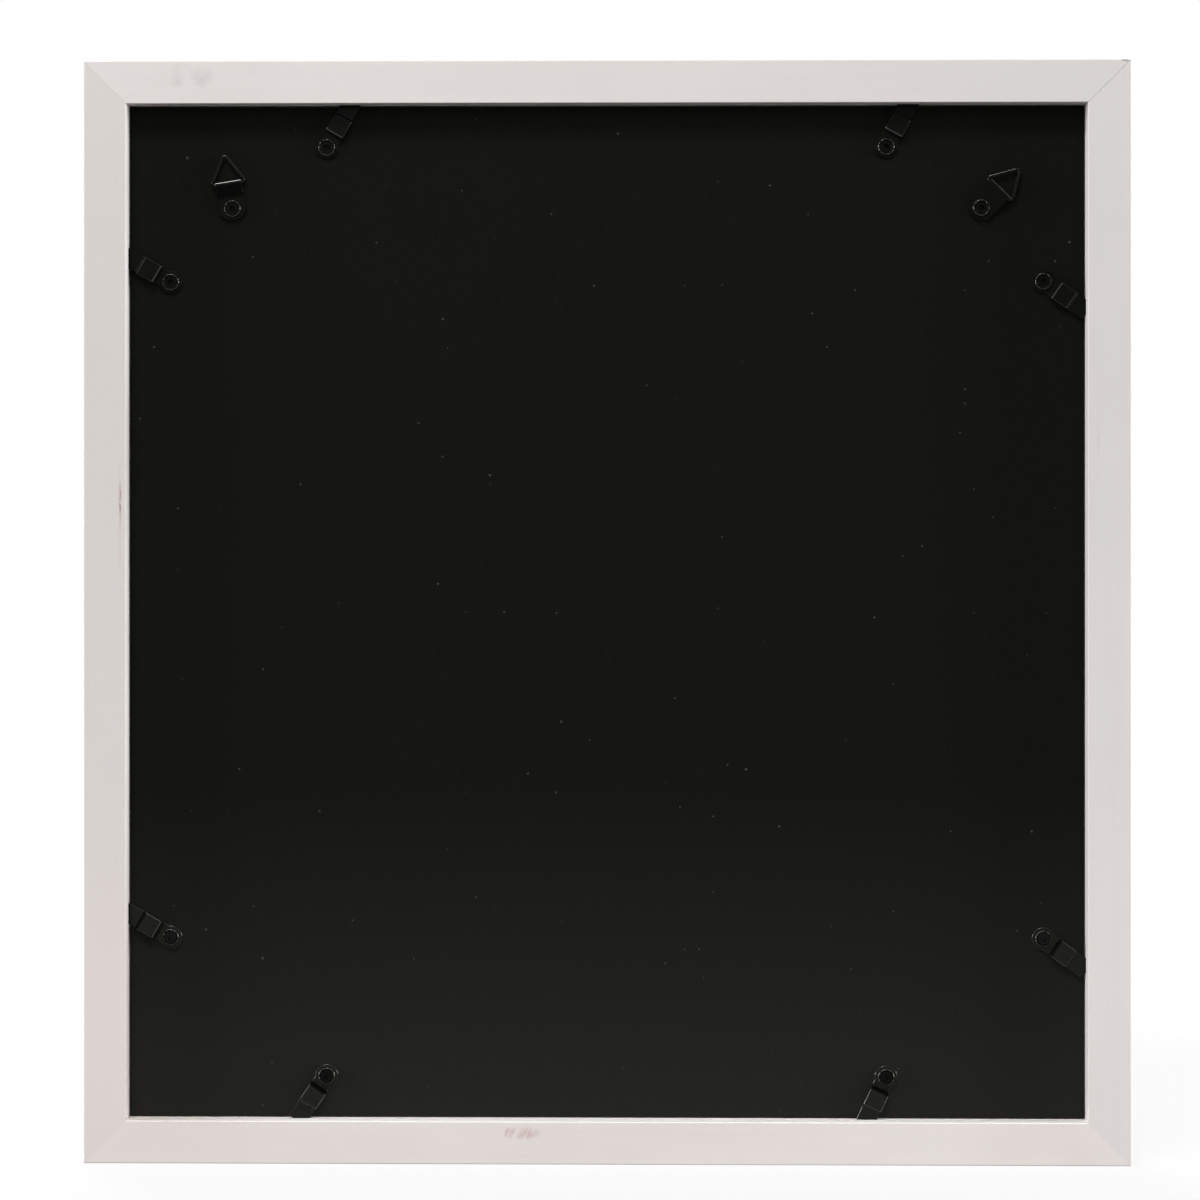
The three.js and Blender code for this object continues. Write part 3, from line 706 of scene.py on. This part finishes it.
def clip_lacquer(spot, clockwise):
    """A clip's edges carry a bead. Low down, its raised edges get a painted highlight, and its neck and its
    bends that look up get painted shade.
    """
    turned = math.radians(clockwise)
    points = Vector((-math.sin(turned), 0, math.cos(turned)))

    def choice(face):
        past_eye = (face.center - spot).dot(points) > NECK_FOOT
        bend = past_eye and abs(face.normal.dot(points)) > BEND_LEAST
        low = face.center.z <= SHEEN_START
        if past_eye and face.center.y < BOARD_BACK + NECK_HEIGHT:
            return SHADED
        if not tilted(face):
            return PLAIN
        if low and not bend:
            return GLINT_BEAD if raised(face) else BEAD
        if low and face.normal.z > 0:
            return SHADED
        return BEAD if raised(face) else PLAIN

    return choice


def rivet_point(node):
    """Where a rivet's axis leaves the back of the board."""
    low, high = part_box(node)
    return Vector(((low.x + high.x) / 2, BOARD_BACK, (low.z + high.z) / 2))


shank_hole(CLIP_MIDDLE)
widen(CLIP_EYE, CLIP_EYE, CLIP_MIDDLE)
neck_start = CLIP_EYE * math.cos(NECK) - SAME_PLACE
pick("EDGE", lambda edge: all(corner.co.y > neck_start and corner.co.length > CLIP_EYE - SLACK
                              for corner in edge.verts))
narrow = CLIP_HALF_WIDTH / (CLIP_EYE * math.sin(NECK))
for y, z in CLIP_PATH:
    draw_out(y * MM, z * MM, narrow)
    narrow = 1
tip = CLIP_PATH[-1][0] * MM
for corner in bmesh.from_edit_mesh(bpy.context.edit_object.data).verts:
    past = abs(corner.co.x) - (CLIP_HALF_WIDTH - CLIP_TIP_ROUND)
    if near(corner.co.y, tip) and past > 0:
        corner.co.y -= CLIP_TIP_ROUND - math.sqrt(max(CLIP_TIP_ROUND ** 2 - past ** 2, 0))
for y, z in CLIP_PATH[:-1]:
    bend_at(y * MM, z * MM, CLIP_BEND)
thicken(CLIP_THICKNESS, CLIP_EDGE)
bench_clip = bpy.context.object
for name, clockwise in CLIPS.items():
    spot = rivet_point(f"clip_rivet_{name}")
    node = f"turn_clip_{name}"
    clip = place_copy(bench_clip, f"spring_clip_{name}", f"clip_{name}", node, spot, clockwise)
    lacquer_faces(clip, clip_lacquer(spot, clockwise))
bpy.data.objects.remove(bench_clip)

# Rivets
# Hollow steel rivets in the same lacquer. The foot is let into the front of the board, and the top
# is rolled over the eye with a star punch, which leaves a dish in a rim nicked eight times.
FOOT_RADIUS, FOOT_FLOOR, FOOT_TOP = 3.6 * MM, -2.85 * MM, -2.15 * MM
SHANK_RADIUS = 1.9 * MM
HEAD_RADIUS, HEAD_HEIGHT = 3.6 * MM, 1.1 * MM
RIM_HALF_WIDTH = 0.65 * MM
DISH_FLOOR = 0.4 * MM  # over the foot of the head
BORE_RADIUS, BORE_DEPTH = 1.2 * MM, 2.6 * MM
RIVET_SIDES = 96
ROLL_STEPS = 14
NICKS = 8
NICK_DEPTH = 0.25 * MM
NICK_SHARPNESS = 6
CLIP_GRIP, STRAP_GRIP = 1.0 * MM, 1.7 * MM  # foot of the rolled head over the board
BEAD_CIRCLE = 3.0 * MM  # radius inside which the rivet gets painted shade low down
HANGERS = {"left": -9, "right": 45}  # how far each strap points clockwise from upright


def bench_rivet(head_foot):
    """A rivet drawn up from its foot, ring by ring, for a grip of that height over the board."""
    start()
    bpy.ops.mesh.primitive_cylinder_add(
        vertices=RIVET_SIDES, radius=FOOT_RADIUS, depth=FOOT_TOP - FOOT_FLOOR,
        location=(0, 0, (FOOT_TOP + FOOT_FLOOR) / 2),
    )
    bpy.ops.object.transform_apply(location=True)
    bpy.ops.object.mode_set(mode="EDIT")
    pick("FACE", lambda face: face.normal.z > LOOKS_ALONG)
    crest = HEAD_RADIUS - RIM_HALF_WIDTH
    last = math.pi - math.asin(DISH_FLOOR / HEAD_HEIGHT)
    turns = [last * step / ROLL_STEPS for step in range(ROLL_STEPS + 1)]
    rim = [(crest + RIM_HALF_WIDTH * math.cos(t), head_foot + HEAD_HEIGHT * math.sin(t)) for t in turns]
    dish, floor = head_foot + DISH_FLOOR, head_foot + HEAD_HEIGHT - BORE_DEPTH
    radius, height = FOOT_RADIUS, FOOT_TOP
    for new_radius, new_height in [
        (SHANK_RADIUS, FOOT_TOP), (SHANK_RADIUS, head_foot), *rim,
        (BORE_RADIUS, dish), (BORE_RADIUS, floor),
    ]:
        bpy.ops.mesh.extrude_region_move(
            TRANSFORM_OT_translate={"value": (0, 0, new_height - height)}
        )
        grow = new_radius / radius
        bpy.ops.transform.resize(value=(grow, grow, 1), center_override=(0, 0, new_height))
        radius, height = new_radius, new_height
    for corner in bmesh.from_edit_mesh(bpy.context.edit_object.data).verts:
        rise = (corner.co.z - dish) / (HEAD_HEIGHT - DISH_FLOOR)
        if rise > 0:
            nick = max(math.cos(NICKS * math.atan2(corner.co.y, corner.co.x)), 0) ** NICK_SHARPNESS
            corner.co.z -= NICK_DEPTH * nick * rise
    bpy.ops.object.mode_set(mode="OBJECT")
    shade(angle=50)
    return bpy.context.object


def rivet_lacquer(spot):
    """A rivet has a bead round the outside of its rim, and painted shade in its dish low down."""
    def choice(face):
        if (face.center - spot).xz.length < BEAD_CIRCLE:
            return SHADED
        return BEAD if tilted(face) else PLAIN

    return choice


def place_rivets(model, name, node, turned):
    """Sets a copy of a rivet in each of its fittings."""
    for fitting, clockwise in turned.items():
        spot = rivet_point(f"{node}_{fitting}")
        rivet = place_copy(model, f"{name}_{fitting}", "frame", f"{node}_{fitting}", spot, clockwise)
        lacquer_faces(rivet, rivet_lacquer(spot))
    bpy.data.objects.remove(model)


place_rivets(bench_rivet(CLIP_GRIP), "eyelet_rivet", "clip_rivet", CLIPS)
place_rivets(bench_rivet(STRAP_GRIP), "strap_rivet", "hanger_rivet", HANGERS)

# Hanger straps
# Strips of thin lacquered steel, folded double round the base of the ring, with a round tail and
# one hole through both layers for the rivet.
STRAP_THICKNESS = 0.7 * MM
STRAP_HALF_WIDTH = 5.5 * MM
STRAP_LOWER, STRAP_UPPER = 0.45 * MM, 1.25 * MM  # middle of each layer over the board
STRAP_TAIL = 4.6 * MM  # rivet to the round end
FOLD_HALF_WIDTH = 5.25 * MM
FOLD_RADIUS = 1.25 * MM
RING_REACH, RING_HEIGHT = 10.2 * MM, 1.7 * MM  # axis of the ring's base from the rivet, over the board
STRAP_SLOPE = math.radians(16)
STRAP_BEND = 1.0 * MM
STRAP_EDGE = 0.15 * MM
FOLD_STEPS = 16
BEND_STEPS = 4
WORN_LEAST = 0.28  # how far a worn face looks up
SHADED_SLOPE_MOST = -0.23  # how far down a slope looks that gets painted shade

fold_top = Vector((
    0,
    RING_REACH - FOLD_RADIUS * math.sin(STRAP_SLOPE),
    RING_HEIGHT + FOLD_RADIUS * math.cos(STRAP_SLOPE),
))
slope_foot = fold_top.y - (fold_top.z - STRAP_UPPER) / math.tan(STRAP_SLOPE)
tail_front = slope_foot - STRAP_BEND
bend_corner = Vector((0, slope_foot, STRAP_UPPER))
bend_start = bend_corner + STRAP_BEND * (fold_top - bend_corner).normalized()
bend_end = Vector((0, tail_front, STRAP_UPPER))
taper_end = RING_REACH - FOLD_RADIUS
taper_height = fold_top.z - (fold_top.y - taper_end) * math.tan(STRAP_SLOPE)
taper = FOLD_HALF_WIDTH / STRAP_HALF_WIDTH

shank_hole(STRAP_LOWER)
pick("EDGE", lambda edge: all(corner.co.y < SAME_PLACE for corner in edge.verts))
widen(STRAP_HALF_WIDTH, STRAP_TAIL, STRAP_LOWER)
pick("EDGE", lambda edge: all(corner.co.y > -SAME_PLACE and abs(corner.co.x) < SHANK_HOLE + SAME_PLACE
                              for corner in edge.verts))
draw_out(tail_front, STRAP_LOWER, STRAP_HALF_WIDTH / SHANK_HOLE)
for side in (-1, 1):
    shoulder = [(SHANK_HOLE, 0), (STRAP_HALF_WIDTH, 0), (STRAP_HALF_WIDTH, tail_front)]
    pick("VERT", lambda corner: any(near(corner.co.x, side * x) and near(corner.co.y, y)
                                    for x, y in shoulder))
    bpy.ops.mesh.edge_face_add()
pick("EDGE", edge_at("x", y=tail_front))
draw_out(slope_foot, STRAP_LOWER)
draw_out(taper_end, STRAP_LOWER, taper)
draw_out(RING_REACH, STRAP_LOWER)
bpy.ops.mesh.spin(
    steps=FOLD_STEPS, angle=math.pi + STRAP_SLOPE, center=(0, RING_REACH, RING_HEIGHT), axis=(-1, 0, 0)
)
draw_out(taper_end, taper_height)
draw_out(bend_start.y, bend_start.z, 1 / taper)
for step in range(1, BEND_STEPS + 1):
    along = step / BEND_STEPS
    bent = bend_start.lerp(bend_corner, along).lerp(bend_corner.lerp(bend_end, along), along)
    draw_out(bent.y, bent.z)
pick("FACE", lambda face: face.calc_center_median().y < tail_front)
bpy.ops.mesh.duplicate_move(TRANSFORM_OT_translate={"value": (0, 0, STRAP_UPPER - STRAP_LOWER)})
thicken(STRAP_THICKNESS, STRAP_EDGE)
bench_strap = bpy.context.object


def worn(face):
    """What lies uppermost on a hanger is rubbed bright by what it hangs from."""
    if not (tilted(face) and raised(face)):
        return PLAIN
    return WORN_BEAD if face.normal.z > WORN_LEAST else THIN_BEAD


def strap_lacquer(face):
    """A slope that looks down gets painted shade, a deep black, and the rest is worn like the ring."""
    slope = face.normal.y > BEAD_MOST and face.normal.z < SHADED_SLOPE_MOST
    return SHADED_SLOPE if slope else worn(face)


for name, clockwise in HANGERS.items():
    spot = rivet_point(f"hanger_rivet_{name}")
    node = f"hanger_strap_{name}"
    strap = place_copy(bench_strap, f"folded_strap_{name}", f"hanger_{name}", node, spot, clockwise)
    lacquer_faces(strap, strap_lacquer)
bpy.data.objects.remove(bench_strap)

# Hanging rings
# Triangles of lacquered wire, bent from one length whose two ends meet inside the strap's fold,
# so that each ring swings on its base.
WIRE_RADIUS = 0.7 * MM
RING_BASE, RING_RISE = 14.3 * MM, 12.4 * MM
RING_BEND = 1.9 * MM
WIRE_GAP = 0.6 * MM

start()
bpy.ops.mesh.primitive_circle_add(vertices=3, radius=RING_BASE, fill_type="NGON")
ring_corners = ((0, RING_RISE, 0), (-RING_BASE / 2, 0, 0), (RING_BASE / 2, 0, 0))
for corner, spot in zip(bpy.context.object.data.vertices, ring_corners):
    corner.co = spot
bpy.ops.object.mode_set(mode="EDIT")
bpy.ops.mesh.select_all(action="SELECT")
bpy.ops.mesh.bevel(offset=RING_BEND, segments=10, profile=0.42, affect="VERTICES")
bpy.ops.mesh.select_all(action="SELECT")
bpy.ops.mesh.delete(type="ONLY_FACE")
pick("EDGE", edge_at("x", y=0))
bpy.ops.mesh.subdivide(number_cuts=2)
third = (RING_BASE / 2 - RING_BEND) / 3
pick("VERT", lambda corner: near(corner.co.y, 0) and near(abs(corner.co.x), third))
bpy.ops.transform.resize(value=(WIRE_GAP / 2 / third, 1, 1), center_override=(0, 0, 0))
pick("EDGE", lambda edge: all(near(c.co.y, 0) and abs(c.co.x) < WIRE_GAP for c in edge.verts))
bpy.ops.mesh.delete(type="EDGE")
bpy.ops.object.mode_set(mode="OBJECT")
bpy.ops.object.convert(target="CURVE")
wire = bpy.context.object.data
wire.dimensions = "3D"
wire.bevel_depth = WIRE_RADIUS
wire.bevel_resolution = 8
wire.use_fill_caps = True
bpy.ops.object.convert(target="MESH")
shade(angle=50)
bench_ring = bpy.context.object
bench_ring.location = (0, RING_REACH, RING_HEIGHT)
bpy.ops.object.transform_apply(location=True)
for name, clockwise in HANGERS.items():
    spot = rivet_point(f"hanger_rivet_{name}")
    node = f"hanger_ring_{name}"
    ring = place_copy(bench_ring, f"triangle_ring_{name}", f"ring_{name}", node, spot, clockwise)
    lacquer_faces(ring, worn)
bpy.data.objects.remove(bench_ring)

# Stage
# A pale floor that fades into a white surround, and soft lamps above, behind, on both sides, low down
# and in front, so that the frame can be looked at from anywhere.
FLOOR_SIZE = 12
FLOOR_DROP = 0.2 * MM
FLOOR_GREY = (0.12, 0.12, 0.12, 1)  # which takes the shadows
FLOOR_GLOW = 0.83  # brightness that is seen but lights nothing
FLOOR_NEAR, FLOOR_FAR = 0.4, 1.6  # where the floor starts to fade, and where it is as white as the surround
WHITE = (1, 1, 1, 1)
WORLD_FILL = 0.30  # the light that the surround gives

start()
bpy.ops.mesh.primitive_plane_add(size=FLOOR_SIZE, location=(0, 0, -FLOOR_DROP))
floor = bpy.context.object
floor.name = "floor"


def seen(tree):
    """1 for the rays that show the surround itself, to the camera or in gloss and glass."""
    path = tree.node("ShaderNodeLightPath", {}, "Is Camera Ray")
    outputs = path.socket.node.outputs
    shown = path
    for name in ("Is Glossy Ray", "Is Transmission Ray"):
        shown = tree.node(
            "ShaderNodeMath", {0: shown, 1: Value(tree, outputs[name])}, operation="MAXIMUM"
        )
    return shown


ground = Finish(bpy.data.materials.new("pale_floor"))
matt = ground.node("ShaderNodeBsdfDiffuse", {"Color": FLOOR_GREY})
away = ground.node("ShaderNodeVectorMath", {0: ground.place()}, "Value", operation="LENGTH")
fade = ground.ramp(away * (1 / FLOOR_SIZE), FLOOR_NEAR / FLOOR_SIZE, FLOOR_FAR / FLOOR_SIZE)
level = seen(ground) * (FLOOR_GLOW + fade * (1 - FLOOR_GLOW))
glow = ground.node("ShaderNodeEmission", {"Color": WHITE, "Strength": level})
ground.show(ground.node("ShaderNodeAddShader", {0: matt, 1: glow}))
floor.data.materials.append(ground.owner)

world = bpy.data.worlds.new("surround")
bpy.context.scene.world = world
surround = Finish(world)
level = WORLD_FILL + seen(surround) * (1 - WORLD_FILL)
sky = surround.node("ShaderNodeBackground", {"Color": WHITE, "Strength": level})
surround.show(sky, "ShaderNodeOutputWorld")


def soft_lamp(name, place, size, watts, target=MIDDLE, spread=180):
    """A rectangular lamp at a place in metres, turned to its target."""
    lamp = bpy.data.objects.new(name, bpy.data.lights.new(name, "AREA"))
    bpy.context.collection.objects.link(lamp)
    lamp.data.shape = "RECTANGLE"
    lamp.data.size, lamp.data.size_y = size
    lamp.data.spread = math.radians(spread)
    lamp.data.energy = watts
    lamp.location = place
    lamp.rotation_euler = (Vector(target) - Vector(place)).to_track_quat("-Z", "Y").to_euler()


soft_lamp("lamp_above", place=(0.3, 0.95, 1.6), size=(0.7, 0.32), watts=18.2)
soft_lamp("lamp_behind", place=(0.3, 2.2, 1.1), size=(0.8, 0.8), watts=6.5)
soft_lamp("lamp_left", place=(3.4, 0.54, 0.68), size=(0.8, 1.0), watts=96)
soft_lamp("lamp_right", place=(-3.4, 0.54, 0.68), size=(0.8, 1.0), watts=106)
soft_lamp("lamp_low", place=(0, 1.15, 0.06), size=(1.0, 0.08), watts=0.29, target=(0, 0, 0), spread=40)
soft_lamp("lamp_front", place=(0.45, -1.5, 0.9), size=(1.2, 0.5), watts=26.5)

# Camera
# Almost square on to the back, a little above its middle, from a metre and a half. The lens is
# shifted, so that the rails stay upright in the picture.
CAMERA_AWAY = 1.565
PICTURE_WIDTH = 0.4836  # of the plane of the rails' back
PICTURE_CENTRE = Vector((2.5 * MM, 0, 227.5 * MM))
CAMERA_PLACE = Vector((5 * MM, BACK + CAMERA_AWAY, 272 * MM))
CAMERA_TURN = math.radians(1)  # of the lens to the left

camera = bpy.data.objects.new("camera", bpy.data.cameras.new("camera"))
bpy.context.collection.objects.link(camera)
camera.location = CAMERA_PLACE
camera.rotation_euler = (math.pi / 2, 0, math.pi + CAMERA_TURN)
camera.data.lens = camera.data.sensor_width * CAMERA_AWAY / PICTURE_WIDTH
centre_turn = CAMERA_TURN + math.atan2(CAMERA_PLACE.x - PICTURE_CENTRE.x, CAMERA_AWAY)
camera.data.shift_x = math.tan(centre_turn) * CAMERA_AWAY / PICTURE_WIDTH
camera.data.shift_y = (PICTURE_CENTRE.z - CAMERA_PLACE.z) / PICTURE_WIDTH
bpy.context.scene.camera = camera
bpy.context.scene.view_settings.view_transform = "Standard"
